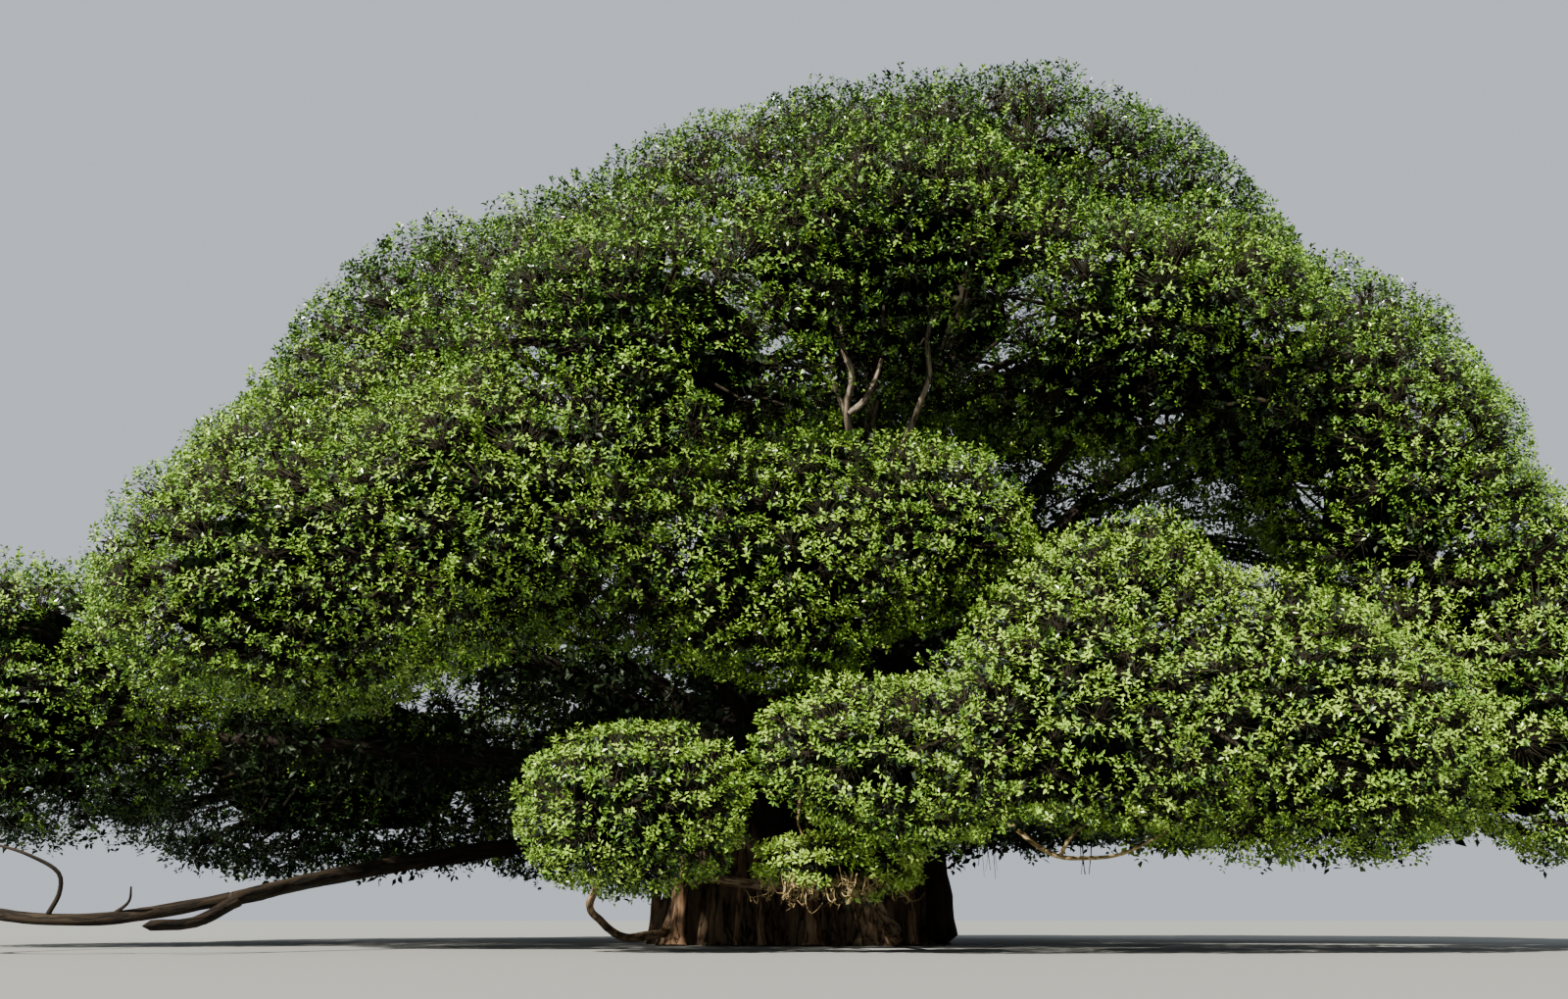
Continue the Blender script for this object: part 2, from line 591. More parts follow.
# One plain colour with the shared wax.
def leafMaterial(name, colour, glossy, dull, specular):
    material, tree, shader = newMaterial(name)
    shader.inputs["Base Color"].default_value = (*colour, 1)
    shader.inputs["Specular IOR Level"].default_value = specular
    place = tree.nodes.new("ShaderNodeTexCoord").outputs["Object"]
    values = {"Vector": place, "Glossy": glossy, "Dull": dull}
    wax = addNode(tree, "ShaderNodeGroup", values, node_tree=leafWax)
    tree.links.new(wax.outputs["Roughness"], shader.inputs["Roughness"])
    return material


# The trunk.

trunkSkin = {
    "columns": 500, "rows": 100, "below": 0.86, "strands": 46, "sink": 0.16,
    "strandWidth": (0.035, 0.13), "strandDepth": (0.10, 0.30), "drift": 0.16,
}
# Hollows between the fused roots: bearing in degrees, half-width in radians, depth and height.
hollows = ((-106, 0.30, 0.42, 2.6), (-62, 0.16, 0.30, 1.9), (-140, 0.14, 0.26, 1.5), (20, 0.22, 0.35, 2.2),
           (78, 0.26, 0.40, 2.8), (130, 0.20, 0.34, 2.0), (190, 0.24, 0.36, 2.4))
# Roots that stand round the trunk: foot and head (x, y, z), and radius at both.
propRoots = (
    ((-2.62, -2.3, 0.0), (-2.45, -2.0, 2.3), (0.17, 0.10)),
    ((0.34, -2.78, 0.0), (0.22, -2.42, 2.9), (0.17, 0.09)),
    ((2.15, -2.85, 0.0), (1.6, -2.5, 1.2), (0.15, 0.09)),
    ((-0.75, -2.72, 0.0), (-0.95, -2.2, 2.6), (0.08, 0.05)),
    ((-1.3, -2.7, 0.0), (-1.22, -2.15, 2.2), (0.06, 0.05)),
    ((2.5, -2.5, 0.0), (2.45, -2.0, 2.2), (0.10, 0.07)),
    ((-1.9, 2.5, 0.0), (-1.75, 2.1, 2.4), (0.14, 0.08)),
    ((1.1, 2.7, 0.0), (1.3, 2.3, 2.8), (0.16, 0.09)),
    ((3.3, 1.0, 0.0), (3.05, 0.9, 2.6), (0.13, 0.08)),
    ((-3.35, 0.6, 0.0), (-3.05, 0.5, 2.4), (0.14, 0.08)),
)
propSteps, propSides = 22, 12


# Fused roots: round ridges that wander round the trunk as they rise, of which the highest counts,
# each root 1 - (distance / width)² under a square root.
def strandRelief(angle, height):
    relief = np.zeros(np.broadcast(angle, height).shape)
    count = trunkSkin["strands"]
    for strand in range(count):
        width = random.uniform(*trunkSkin["strandWidth"]) * random.uniform(0.7, 1.3)
        depth = random.uniform(*trunkSkin["strandDepth"]) * (0.6 + 0.4 * width / trunkSkin["strandWidth"][1])
        place = 2 * math.pi * (strand + random.uniform(-0.4, 0.4)) / count
        sway = random.uniform(0.3, 1.0) * trunkSkin["drift"]
        pace, phase = random.uniform(0.35, 0.9), random.uniform(0, 2 * math.pi)
        middle = place + sway * np.sin(pace * height + phase)
        away = (angle - middle + math.pi) % (2 * math.pi) - math.pi
        wide = width * (1 + 0.7 * np.exp(-height / 0.35))
        ridge = np.sqrt(np.clip(1 - (away / wide) ** 2, 0, 1)) * depth * (1 + 0.5 * np.exp(-height / 0.4))
        relief = np.maximum(relief, ridge)
    return relief


# Rings of points at a radius and height for each direction.
def ringPoints(radius, angle, height, shift=(0.0, 0.0)):
    level = np.broadcast_to(height, radius.shape)
    return np.stack([radius * np.cos(angle) + shift[0], radius * np.sin(angle) + shift[1], level], -1)


# The trunk's rings: its radius with the fused roots, less each hollow's
# depth x exp(-(angle / width)^4) below its height, closing over the fork by 1 - over^2.2.
def makeTrunk():
    columns, rows = trunkSkin["columns"], trunkSkin["rows"]
    angle = ringAngles(columns)
    level = np.linspace(0, 1, rows)[:, None]
    below = trunkSkin["below"]
    body = np.clip(level / below, 0, 1) ** 1.15
    over = np.clip((level - below) / (1 - below), 0, 1)
    height = trunk["forkHeight"] * body + trunk["crownHeight"] * np.sin(over * math.pi / 2)
    closing = 1 - over ** 2.2
    radius = trunkRadius(angle[None], height) - trunkSkin["sink"] + strandRelief(angle[None], height)
    for bearing, wide, deep, tall in hollows:
        away = (angle[None] - math.radians(bearing) + math.pi) % (2 * math.pi) - math.pi
        radius = radius - deep * np.exp(-(away / wide) ** 4) / (1 + np.exp((height - tall) * 4))
    flat = ringPoints(radius, angle, height)
    radius = radius + 0.035 * smoothNoise(flat * (5, 5, 1.6), 3) + 0.018 * smoothNoise(flat * (13, 13, 5), 4)
    radius = radius * closing + 0.02
    shift = trunkCentre(height[:, 0])
    points = ringPoints(radius, angle, height, (shift[:, None, 0], shift[:, None, 1]))
    index = np.arange(rows * columns).reshape(rows, columns)
    beside = np.roll(index, -1, axis=1)
    foot, top = rows * columns, rows * columns + 1
    # Two closing fans of quads, each over two columns.
    lowFan = np.stack([np.full(columns // 2, foot), beside[0, 1::2], beside[0, ::2], index[0, ::2]], -1)
    topFan = np.stack([np.full(columns // 2, top), index[-1, ::2], beside[-1, ::2], beside[-1, 1::2]], -1)
    ends = np.array([[0, 0, 0], [*shift[-1, :2], height[-1, 0]]])
    points, grain = [np.vstack([part.reshape(-1, 3), ends]) for part in (points, flat)]
    return points, np.vstack([ringQuads(index), lowFan, topFan]), grain


# A root stands on the ground and sways by smooth noise from foot to head. It narrows evenly but for
# the spread at its foot, 0.6 x exp(-t / 0.08).
def propRoot(foot, head, girth, seed):
    t = np.linspace(0, 1, propSteps)[:, None]
    line = np.array(foot) * (1 - t) + np.array(head) * t
    sway = smoothNoise(np.hstack([t * 3 + seed, t * 0, t * 0]), 41)
    line = line + 0.5 * girth[0] * np.sin(np.pi * t) * np.stack([sway, sway * 0.3, sway * 0], -1)
    radius = (girth[0] + (girth[1] - girth[0]) * t[:, 0]) * (1 + 0.6 * np.exp(-t[:, 0] / 0.08))
    place = ringPoints(np.ones((propSteps, propSides)), ringAngles(propSides), t * 6)
    lumps = 1 + 0.16 * smoothNoise(place + seed, 42)
    return carriedProfile(line[None], radius[None], propSides, lumps[None])


trunkPieces = {
    "trunk_bark": ("trunkBark", [makeTrunk()]),
    "foot_roots": ("footBark", [propRoot(*root, place * 5.3) for place, root in enumerate(propRoots)]),
}
for name, (bark, groups) in trunkPieces.items():
    shape = joined(groups)
    shape[0][:, 2] = np.maximum(shape[0][:, 2], 0)
    piece = treePiece(name, shape, barkMaterials[bark])
    if name == "trunk_bark":
        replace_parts(piece, "trunk")


# Boughs.

limbSkin = {
    "sides": 22, "stride": 0.16, "ridges": 5, "ridgeDepth": 0.07, "knots": 0.16,
    "collar": 0.7, "collarRun": 0.9,
}


# A limb: its radius narrows from girth to girth, with a collar at the root, long twisting ridges and
# lumps of smooth noise. Its far end closes to a point.
def limbSkinned(line, girth, seed, collar=True):
    length = np.linalg.norm(np.diff(line, axis=0), axis=1).sum()
    steps = max(12, int(length / limbSkin["stride"]))
    line = resampled(line, steps)
    t = np.linspace(0, 1, steps)
    sway = smoothNoise(np.stack([t * length * 0.55, t * 0 + seed, t * 0], -1), 11)
    lift = smoothNoise(np.stack([t * length * 0.55, t * 0 + seed, t * 0 + 9], -1), 12)
    fade = np.sin(np.pi * t)[:, None]
    line = line + 0.5 * girth[1] * fade * np.stack([sway, -sway, lift], -1)
    radius = girth[0] + (girth[1] - girth[0]) * t ** 0.8
    if collar:
        radius = radius * (1 + limbSkin["collar"] * np.exp(-t * length / limbSkin["collarRun"]))
    angle = ringAngles(limbSkin["sides"])
    twist = 0.25 * t[:, None] * length + seed
    relief = 1 + limbSkin["ridgeDepth"] * np.abs(np.sin(limbSkin["ridges"] * (angle[None] + twist) / 2))
    place = ringPoints(np.ones((steps, len(angle))), angle, t[:, None] * length * 1.3, (seed, 0.0))
    relief = relief + limbSkin["knots"] * smoothNoise(place * 1.4, 21) + 0.05 * smoothNoise(place * 4.2, 22)
    ends = np.ones(steps)
    ends[0] = ends[-1] = 0.02
    return carriedProfile(line[None], (radius * ends)[None], limbSkin["sides"], relief[None])


# Limbs whose root has no collar, and those that lie in the sun in front of the trunk.
litLimbs = ("low_front_bough", "low_cross_bough", "low_left_bough")
plainRoots = [limb for limb in lowLimbs if limb != "low_front_bough"]
limbPieces = {
    "boughs_bark": ("boughBark", [bough for bough in boughs if bough != "bough_front_upper"]),
    "front_bough_bark": ("frontBark", ["bough_front_upper"]),
    "low_limbs_bark": ("lowBark", [limb for limb in lowLimbs if limb not in litLimbs]),
    "low_boughs_bark": ("brownBark", list(litLimbs)),
}
for name, (bark, chosen) in limbPieces.items():
    groups = []
    for limb in chosen:
        seed = list(limbLines).index(limb) * 3.7
        groups.append(limbSkinned(limbLines[limb], limbGirths[limb], seed, limb not in plainRoots))
    shape = joined(groups)
    shape[0][:, 2] = np.maximum(shape[0][:, 2], 0)
    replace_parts(treePiece(name, shape, barkMaterials[bark]), *chosen)


# Foliage.

# Clumps of foliage lie side by side under the open faces of each mass's space. In order: their size,
# how many there are for an area and how close they lie; the shape of the face that they lie under, and
# which of them are dropped or bedded deeper; how their openness is measured and thins their sprays;
# the ragged lower edge; waves and lumps of the face; and the tiers that sprays are gathered into.
crown = {
    "clump": 0.92, "spread": (0.72, 1.2), "flat": 0.74, "perArea": 2.8, "apart": 0.55,
    "blend": 1.0, "inset": 0.28, "farthest": 1.8, "buried": 0.9, "bedded": (0.6, 1.06),
    "rays": 26, "near": 9.0, "shaded": 0.22, "cap": 1.32, "lowFront": 2.6, "limbRoom": 0.12,
    "ragged": 0.27, "raggedSize": 0.8, "raggedBend": 1.4, "raggedChance": 0.35,
    "waves": 0.34, "waveSize": 2.1, "lumps": 0.12, "lumpSize": 0.5,
    "tier": 0.56, "tierSway": (0.8, 0.42), "tierSize": (2.4, 1.0), "droop": 0.07, "gathered": 0.46,
    "ledge": 0.2,
}
flatness = np.array([1.0, 1.0, crown["flat"]])
# The sprays of a layer: how many, where they lie between a clump's middle and its face, their
# leaves, how steeply the innermost and the outermost leaf stand, and the leaves' wax: roughness where
# it is glossy and dull, and its shine.
layers = {
    "outer": {"sprays": 80000, "depth": (0.78, 1.06), "leaves": 8, "leaf": 0.132, "width": 0.26,
              "tilt": (52, -8), "room": 0.06, "along": 0.15, "sunk": 0.30, "wax": (0.17, 0.34, 0.38)},
    "under": {"sprays": 5200, "depth": (0.3, 0.74), "leaves": 8, "leaf": 0.23, "width": 0.26,
              "tilt": (70, -30), "room": 0.25, "along": 0.25, "sunk": 0.8, "wax": (0.5, 0.7, 0.3)},
}
backMasses = {"leaf": 1.4, "share": 0.42}  # those behind have larger leaves in fewer sprays
frontMasses = {"before": -6.5, "leaf": 0.8, "share": 1.42}  # and those in front the smallest in the most

# Masses that grow into one another, so that leaves close the folds between them.
backNames = [name for name in massNames if "_back" in name]
grownTogether = (
    ["crown_top", "top_left", "top_right", "upper_left", "upper_far_left", "left_shoulder", "left_slope",
     "far_left", "left_front", "front_upper_left", "front_upper", "right_upper", "right_high", "right_far",
     "far_right", "far_right_low"] + backNames,
    ["left_front", "mid_front", "mid_right"],
    ["right_low_a", "right_low_b", "far_right_low", "low_centre", "right_mid"],
)
together = np.eye(len(massNames), dtype=bool)
for names in grownTogether:
    members = [massIndex[name] for name in names]
    together[np.ix_(members, members)] = True


# How far points lie outside each oval, along the line to its middle.
def pastOvals(offset):
    share = np.maximum(np.linalg.norm(offset / massReach, axis=-1), 0.01)
    return np.linalg.norm(offset, axis=-1) * (1 - 1 / share)


# How far points lie outside a mass and those grown together with it, and which way its face looks
# there. With the distances d to the ovals this is -k log(sum of exp(-d / k)).
def outsideOf(mass, points):
    offset = points[:, None] - massAt
    distance = np.where(together[mass], pastOvals(offset), 1e3)
    nearest = distance.min(axis=1, keepdims=True)
    share = np.exp((nearest - distance) / crown["blend"])
    facing = unit((share[..., None] * unit(offset / massReach ** 2)).sum(axis=1))
    waves = crown["waves"] * smoothNoise(points / crown["waveSize"], 74)
    return nearest[:, 0] - crown["blend"] * np.log(share.sum(axis=1)) + crown["inset"] + waves, facing


# Evenly spread directions: equal steps in height with a golden turn between them.
def fanned(count, twist):
    height = 1 - 2 * (np.arange(count) + 0.5) / count
    level = np.sqrt(1 - height ** 2)
    angle = np.arange(count) * goldenTurn + twist
    return np.stack([level * np.cos(angle), level * np.sin(angle), height], -1)


# The share of a few dozen rays from a point, all on the side that it faces, that no other mass stops.
# A ray meets an oval where a t² + 2 b t + c = 0.
def openness(points, ways, own):
    rays = unit(fanned(crown["rays"], 0.4)[None] * 0.8 + ways[:, None])
    clear = np.ones(rays.shape[:2], bool)
    for mass in range(len(massNames)):
        offset = ((points - massAt[mass]) / massReach[mass])[:, None]
        ray = rays / massReach[mass]
        a = (ray ** 2).sum(-1)
        b = (offset * ray).sum(-1)
        c = (offset ** 2).sum(-1) - 0.9
        root = b * b - a * c
        first = (-b - np.sqrt(np.maximum(root, 0))) / a
        last = (-b + np.sqrt(np.maximum(root, 0))) / a
        hit = (root > 0) & (last > 0) & (first < crown["near"]) & (own != mass)[:, None]
        clear &= ~hit
    return clear.mean(axis=1)


# The area of an oval, by Thomsen's rule: 4 pi times a mean of the products of its half-widths.
def ovalArea(reach):
    power = 1.6
    products = np.array([reach[0] * reach[1], reach[0] * reach[2], reach[1] * reach[2]])
    return 4 * math.pi * (products ** power).mean() ** (1 / power)


# How deep points lie inside any other mass.
def buriedBy(mass, points):
    depth = -pastOvals(points[:, None] - massAt)
    depth[:, mass] = -1e3
    return depth.max(axis=1)


# Clumps lie under the joined face: points round each mass are moved on to it along the way it faces.
def clumpsOf(mass):
    reach = massReach[mass]
    size = crown["clump"] * np.clip(reach.mean() / 4.0, 0.62, 1.08)
    count = int(crown["perArea"] * ovalArea(reach) / size ** 2)
    ways = unit(fanned(count, mass * 1.7) + random.normal(0, 0.05, (count, 3)))
    oval = ovalReach(reach, ways)
    face = massAt[mass] + ways * oval[:, None]
    for _ in range(10):
        outside, facing = outsideOf(mass, face)
        face = face - 0.9 * outside[:, None] * facing
    outside, facing = outsideOf(mass, face)
    far = np.linalg.norm(face - massAt[mass], axis=1) / ovalReach(reach, unit(face - massAt[mass]))
    kept = (np.abs(outside) < 0.2) & (far < crown["farthest"]) & (buriedBy(mass, face) < crown["buried"])
    face, facing = face[kept], facing[kept]
    radius = size * random.uniform(*crown["spread"], len(face))
    middles = face - facing * (radius * random.uniform(*crown["bedded"], len(face)))[:, None]
    lowest = massLow[mass] + 0.5 * crown["flat"] * radius
    kept = middles[:, 2] > lowest - radius
    middles[:, 2] = np.maximum(middles[:, 2], lowest)
    return middles[kept], facing[kept], radius[kept], np.full(kept.sum(), mass)


# Clumps that close the fold beside right_upper: middle and radius.
foldClumps = (
    ((4.9, -6.6, 12.5), 1.0), ((5.5, -6.0, 13.7), 1.0), ((4.5, -6.9, 11.6), 0.85), ((5.9, -5.0, 14.6), 0.95),
)
# Masses whose front lies in the open.
openMasses = ("low_left", "low_centre", "low_front", "mid_front", "mid_right", "right_mid")


# Clumps are kept, the largest first, where their middles lie further from those already kept than a
# share of the sum of their radii. Heights count for more, because clumps are flat.
def thinned(middles, radius):
    kept = np.zeros(len(middles), bool)
    middles = middles / flatness
    for place in np.argsort(-radius * random.uniform(0.8, 1.2, len(radius))):
        away = np.linalg.norm(middles[kept] - middles[place], axis=1)
        kept[place] = not (away < crown["apart"] * (radius[kept] + radius[place])).any()
    return kept


made = zip(*[clumpsOf(mass) for mass in range(len(massNames))])
at, way, size, owner = [np.concatenate(part) for part in made]
kept = thinned(at, size)
at, way, size, owner = at[kept], way[kept], size[kept], owner[kept]
at = np.vstack([at, [place for place, _ in foldClumps]])
way = np.vstack([way, np.tile(unit(np.array([0.1, -0.8, 0.5])), (len(foldClumps), 1))])
size = np.concatenate([size, [radius for _, radius in foldClumps]])
owner = np.concatenate([owner, np.full(len(foldClumps), massIndex["right_upper"])])
lit = openness(at + way * size[:, None] * 0.9, way, owner)
lit[np.isin(owner, [massIndex[name] for name in openMasses]) & (way[:, 1] < 0.3)] = 1
lit[-len(foldClumps):] = 0.6
behind = (way[:, 1] > 0.35) | (at[:, 1] > 4)
before = at[:, 1] < frontMasses["before"]
report(f"{len(at)} clumps, {lit.mean():.2f} open on average")

# Pale forks that show in a dark hollow of the crown: the radius at the start, and the points each
# runs through. They grow from a bough, at forkLevel.
forkLevel, forkRoom, thinSteps = 8.2, 0.34, 24
forkBough = limbLines["bough_front_upper"]
forkFoot = forkBough[np.argmin(np.abs(forkBough[:, 2] - forkLevel))]
hollowForks = {
    "main": (0.12, (forkFoot, (1.04, -8.0, 9.84), (0.93, -8.5, 10.33), (1.07, -8.7, 10.9),
                    (0.87, -8.8, 11.45), (0.82, -8.8, 11.92))),
    "right": (0.075, ((0.99, -8.45, 10.21), (1.26, -8.5, 10.42), (1.51, -8.6, 10.85), (1.65, -8.6, 11.29))),
    "left": (0.06, ((0.95, -8.4, 10.16), (0.8, -8.5, 10.54), (0.69, -8.5, 10.8), (0.61, -8.5, 11.08))),
    "second": (0.10, (forkFoot, (2.2, -7.4, 10.05), (2.46, -8.0, 10.63), (2.61, -8.2, 11.06),
                      (2.57, -8.4, 11.83), (2.72, -8.4, 12.35))),
}
hollowLines = [resampled(lineThrough(through), thinSteps) for _, through in hollowForks.values()]
# Points along every limb, and how far leaves keep from each.
limbPoints, limbRadii = [], []
for name, line in limbLines.items():
    steps = max(6, int(len(line) / 4))
    limbPoints.append(resampled(line, steps))
    limbRadii.append(np.linspace(*limbGirths[name], steps))
limbPoints = np.vstack(limbPoints + hollowLines)
limbRadii = np.concatenate(limbRadii + [np.full(thinSteps, forkRoom)] * len(hollowLines))
batch = 4000  # points measured at once


# True where a point is clear of the trunk and of every limb.
def clearOfLimbs(points, room):
    offset = points - trunkCentre(points[:, 2])
    reach = trunkRadius(np.arctan2(offset[:, 1], offset[:, 0]), points[:, 2])
    overTrunk = points[:, 2] > trunk["forkHeight"] + 1.2
    clear = (np.hypot(offset[:, 0], offset[:, 1]) > reach + room) | overTrunk
    for start in range(0, len(points), batch):
        part = slice(start, start + batch)
        away = np.linalg.norm(points[part, None] - limbPoints[None], axis=2) - limbRadii - room
        clear[part] &= away.min(axis=1) > 0
    return clear


# How deep points lie in the balls of the clumps beside their own, as a share of each ball's radius.
def sunkInto(points, clump):
    deepest = np.empty(len(points))
    points, middles = points / flatness, at / flatness
    for start in range(0, len(points), batch):
        part = slice(start, start + batch)
        square = (points[part] ** 2).sum(1)[:, None] + (middles ** 2).sum(1) - 2 * points[part] @ middles.T
        away = np.sqrt(np.maximum(square, 0))
        depth = 1 - away / size
        depth[np.arange(len(depth)), clump[part]] = 0
        deepest[part] = depth.max(axis=1)
    return deepest


# Where points lie in their tier of foliage, from -0.5 at its lower bound to 0.5 at its upper. Tiers
# droop away from the trunk, and rise and fall with smooth noise.
def tierPlace(points):
    level = points[:, 2] + crown["droop"] * np.hypot(points[:, 0], points[:, 1])
    for sway, wave in zip(crown["tierSway"], crown["tierSize"]):
        level = level + sway * smoothNoise(points / wave, 97)
    level = level / crown["tier"]
    return level - np.floor(level) - 0.5


# Sprays over each clump: heights down from its crest in equal steps with golden turns, set on a
# flattened ball, and drawn in where they would leave the space of their mass.
def spraysOf(layer):
    weight = size ** 2 * (crown["shaded"] + (1 - crown["shaded"]) * np.clip((lit - 0.3) / 0.45, 0, 1))
    weight = weight * np.select([behind, before], [backMasses["share"], frontMasses["share"]], 1)
    weight = weight * np.where(owner == massIndex["low_front"], crown["lowFront"], 1)
    number = np.maximum(1, np.round(weight * layer["sprays"] / weight.sum())).astype(int)
    clump = np.repeat(np.arange(len(at)), number)
    rank = np.arange(len(clump)) - np.repeat(np.cumsum(number) - number, number)
    crest = unit(way * 0.8 + up * 0.5)
    cosine = 1 - crown["cap"] * (rank + 0.5 + random.uniform(-0.3, 0.3, len(rank))) / number[clump]
    sine = np.sqrt(np.clip(1 - cosine ** 2, 0, 1))
    turn = rank * goldenTurn + clump * 2.1
    first, second = squareTo(crest[clump])
    aside = first * np.cos(turn)[:, None] + second * np.sin(turn)[:, None]
    facing = crest[clump] * cosine[:, None] + aside * sine[:, None]
    far = size[clump] * random.uniform(*layer["depth"], len(clump))
    points = at[clump] + facing * far[:, None] * flatness
    far = far * (1 + crown["lumps"] * smoothNoise(points / crown["lumpSize"], 83))
    points = at[clump] + facing * far[:, None] * flatness
    for mass in range(len(massNames)):
        own = np.nonzero(owner[clump] == mass)[0]
        outside, outward = outsideOf(mass, points[own])
        inTier = tierPlace(points[own])
        ledge = crown["ledge"] * (2 * np.abs(inTier) - 0.3)
        drawn = points[own] - outward * np.maximum(outside + layer["room"] + ledge, 0)[:, None]
        drawn[:, 2] -= crown["tier"] * crown["gathered"] * inTier
        uneven = 0.5 + 0.5 * smoothNoise(drawn * (crown["raggedSize"], crown["raggedSize"], 0), 51)
        uneven = uneven ** crown["raggedBend"] + random.uniform(0, crown["raggedChance"], len(own))
        lowest = massLow[mass] + crown["ragged"] * massReach[mass][2] * uneven
        drawn[:, 2] = np.maximum(drawn[:, 2], lowest)
        points[own] = drawn
    kept = clearOfLimbs(points, crown["limbRoom"]) & (sunkInto(points, clump) < layer["sunk"])
    return points[kept], facing[kept], clump[kept]


# Leaves of a spray: they follow one another along the end of the twig, each a golden turn on from
# the last, and stand more upright towards its tip.
def leavesOf(points, facing, clump, layer):
    count = layer["leaves"]
    axis = unit(0.4 * facing + 0.75 * up + 0.15 * way[clump] + random.normal(0, 0.28, points.shape))
    first, second = squareTo(axis)
    rank = (np.arange(count) + 0.5) / count
    turn = np.arange(count)[None] * goldenTurn + random.uniform(0, 2 * math.pi, (len(points), 1))
    turn = turn + random.normal(0, 0.45, turn.shape)
    steep, flat = layer["tilt"]
    rise = np.radians(steep + (flat - steep) * rank ** 0.8)[None] + random.normal(0, 0.3, turn.shape)
    outward = first[:, None] * np.cos(turn)[..., None] + second[:, None] * np.sin(turn)[..., None]
    along = outward * np.cos(rise)[..., None] + axis[:, None] * np.sin(rise)[..., None]
    face = unit(axis[:, None] * np.cos(rise)[..., None] - outward * np.sin(rise)[..., None])
    side = np.cross(along, face)
    roll = random.normal(0, 0.45, turn.shape)[..., None]
    side, face = side * np.cos(roll) + face * np.sin(roll), face * np.cos(roll) - side * np.sin(roll)
    share = np.select([behind, before], [backMasses["leaf"], frontMasses["leaf"]], 1)
    length = layer["leaf"] * share[clump, None]
    long = length * (0.7 + 0.3 * rank ** 0.5)[None] * random.uniform(0.78, 1.2, turn.shape)
    back = axis[:, None] * (layer["along"] * rank)[None, :, None]
    start = points[:, None] - back + along * 0.1 * length[..., None]
    return *[part.reshape(-1, 3) for part in (start, along, side, face)], long.reshape(-1)


# A leaf is one quad from base to tip, folded along its midrib, with a drawn tip that bends down.
def leafMesh(start, along, side, face, long, width):
    long = long[:, None]
    middle = start + (0.44 * along + 0.08 * face) * long
    half = side * width * long
    corners = np.stack([start, middle + half, start + (along - 0.05 * face) * long, middle - half], 1)
    return corners.reshape(-1, 3), np.arange(len(corners))[:, None] * 4 + [0, 1, 2, 3]


# The outer leaves' colours, and the share of the sprays that has each.
leafColours = {
    "leaf_deep": (0.012, 0.034, 0.005),
    "leaf_dark": (0.034, 0.080, 0.010),
    "leaf_green": (0.070, 0.147, 0.017),
    "leaf_mid": (0.105, 0.204, 0.022),
    "leaf_olive": (0.146, 0.257, 0.028),
    "leaf_fresh": (0.189, 0.310, 0.037),
    "leaf_pale": (0.242, 0.363, 0.055),
}
leafShares = (0.11, 0.15, 0.18, 0.18, 0.17, 0.13, 0.08)


# A piece of leaves in one colour; the layer says how waxy they are.
def addLeaves(name, colour, sprays, layer):
    shape = leafMesh(*leavesOf(*sprays, layer), layer["width"])
    return treePiece(name, shape, leafMaterial(name, colour, *layer["wax"]), smooth=False)


# Colours go out by spray: a tone that sums the clump's, the mass's and the spray's own share of
# chance, how open it lies, how much it faces up and where it is, put in order and cut into shares.
tones = {
    "clump": 0.3, "mass": 0.2, "spray": 0.75, "open": 1.8, "openest": 0.7, "up": 0.45, "lowFront": 0.9,
    "height": 0.17, "heightFrom": 7, "hall": 1.5,
    "leftLow": 1.6, "leftFrom": -9, "leftTop": 4.6, "leftFade": 1.5,
}
points, facing, clump = spraysOf(layers["outer"])
clumpTone = random.normal(0, tones["clump"], len(at))
massTone = random.normal(0, tones["mass"], len(massNames))
tone = clumpTone[clump] + massTone[owner[clump]] + random.normal(0, tones["spray"], len(clump))
tone = tone + tones["open"] * np.minimum(lit[clump], tones["openest"]) + tones["up"] * facing[:, 2]
tone = tone - tones["height"] * np.maximum(points[:, 2] - tones["heightFrom"], 0)
tone = tone + tones["lowFront"] * (owner[clump] == massIndex["low_front"])
# The hall is the room behind the trunk's front, under the crown.
inHall = (facing[:, 1] < 0.2) & (points[:, 1] > -3) & (points[:, 2] < 7)
leftLow = np.clip((tones["leftTop"] - points[:, 2]) / tones["leftFade"], 0, 1)
leftLow = leftLow * (points[:, 0] < tones["leftFrom"])
tone = tone - tones["hall"] * inHall - tones["leftLow"] * leftLow
order = np.argsort(tone)
cuts = (np.cumsum((0,) + leafShares) / sum(leafShares) * len(order)).round().astype(int)
leafPieces = []
for place, (name, colour) in enumerate(leafColours.items()):
    chosen = order[cuts[place]:cuts[place + 1]]
    sprays = (points[chosen], facing[chosen], clump[chosen])
    leafPieces.append(addLeaves(name, colour, sprays, layers["outer"]))

# The layer underneath is darker, and so are the leaves that hang along the boughs in the crown's shade.
underColours = {"under_leaf_a": (0.006, 0.015, 0.003), "under_leaf_b": (0.013, 0.028, 0.006)}
under = spraysOf(layers["under"])
limbLeaves = {
    "sprays": 4200, "from": 0.12, "away": (0.25, 1.1), "room": 0.06, "over": 0.6,
    "branchSprays": 5000, "branchFrom": (0.2, 0.95), "branchAway": (0.2, 0.6), "branchOver": 0.3,
}


# The sum of a line's steps.
def lineLength(line):
    return np.linalg.norm(np.diff(line, axis=0), axis=1).sum()


